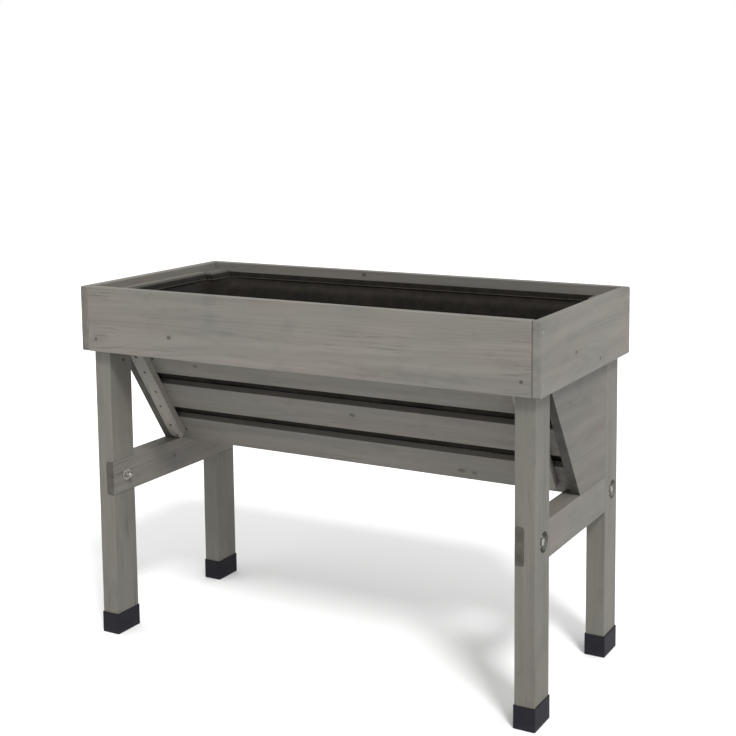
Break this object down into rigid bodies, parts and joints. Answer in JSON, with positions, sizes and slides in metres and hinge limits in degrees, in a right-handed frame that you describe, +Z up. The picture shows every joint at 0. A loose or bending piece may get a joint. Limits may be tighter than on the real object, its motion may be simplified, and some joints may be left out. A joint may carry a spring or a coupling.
{
  "type": "raised planter on legs",
  "caption": "Waist-high wooden trough planter on bolted legs, with a box frame round the top, a sloping slatted front, an upright back for a wall, a felt liner and plastic foot caps.",
  "frame": {"origin": "on the ground, under the middle of the box", "axes": "+X along the width to the right seen from the front, +Y to the upright back, +Z up"},
  "size_m": [1, 0.46, 0.73],
  "materials": {
    "box_boards": "planed softwood with a thin, blotchy grey wash, matt",
    "frame_wood": "planed softwood with a thin grey wash, matt, arrises lightly worn",
    "slats": "planed softwood with a thin grey wash, matt",
    "foot_caps": "moulded black plastic, fine satin texture",
    "fixings": "bright zinc plate",
    "liner": "black-brown needled felt, hemmed at the rim"
  },
  "bodies": {
    "root": {"front_board": "box_boards", "back_board": "box_boards", "end_board_left": "box_boards", "end_board_right": "box_boards", "side_rail_left": "frame_wood", "side_rail_right": "frame_wood", "leg_front_left": "frame_wood", "leg_front_right": "frame_wood", "leg_back_left": "frame_wood", "leg_back_right": "frame_wood", "end_panel_left": "frame_wood", "end_panel_right": "frame_wood", "front_slat_1": "slats", "front_slat_2": "slats", "front_slat_3": "slats", "front_slat_4": "slats", "front_batten_left": "slats", "front_batten_right": "slats", "back_slat_1": "slats", "back_slat_2": "slats", "back_slat_3": "slats", "back_slat_4": "slats", "back_batten_left": "slats", "back_batten_right": "slats", "base_board": "slats", "foot_cap_front_left": "foot_caps", "foot_cap_front_right": "foot_caps", "foot_cap_back_left": "foot_caps", "foot_cap_back_right": "foot_caps", "bolt_front_left": "fixings", "washer_outer_front_left": "fixings", "washer_inner_front_left": "fixings", "cap_nut_front_left": "fixings", "bolt_front_right": "fixings", "washer_outer_front_right": "fixings", "washer_inner_front_right": "fixings", "cap_nut_front_right": "fixings", "bolt_back_left": "fixings", "washer_outer_back_left": "fixings", "washer_inner_back_left": "fixings", "cap_nut_back_left": "fixings", "bolt_back_right": "fixings", "washer_outer_back_right": "fixings", "washer_inner_back_right": "fixings", "cap_nut_back_right": "fixings", "screw_leg_front_left": "fixings", "screw_leg_front_right": "fixings", "screw_leg_back_left": "fixings", "screw_leg_back_right": "fixings", "brad_front_left_low": "fixings", "brad_front_left_high": "fixings", "brad_front_right_low": "fixings", "brad_front_right_high": "fixings", "brad_back_left_low": "fixings", "brad_back_left_high": "fixings", "brad_back_right_low": "fixings", "brad_back_right_high": "fixings", "screw_panel_left": "fixings", "screw_panel_right": "fixings", "liner": "liner"}
  },
  "joints": []
}
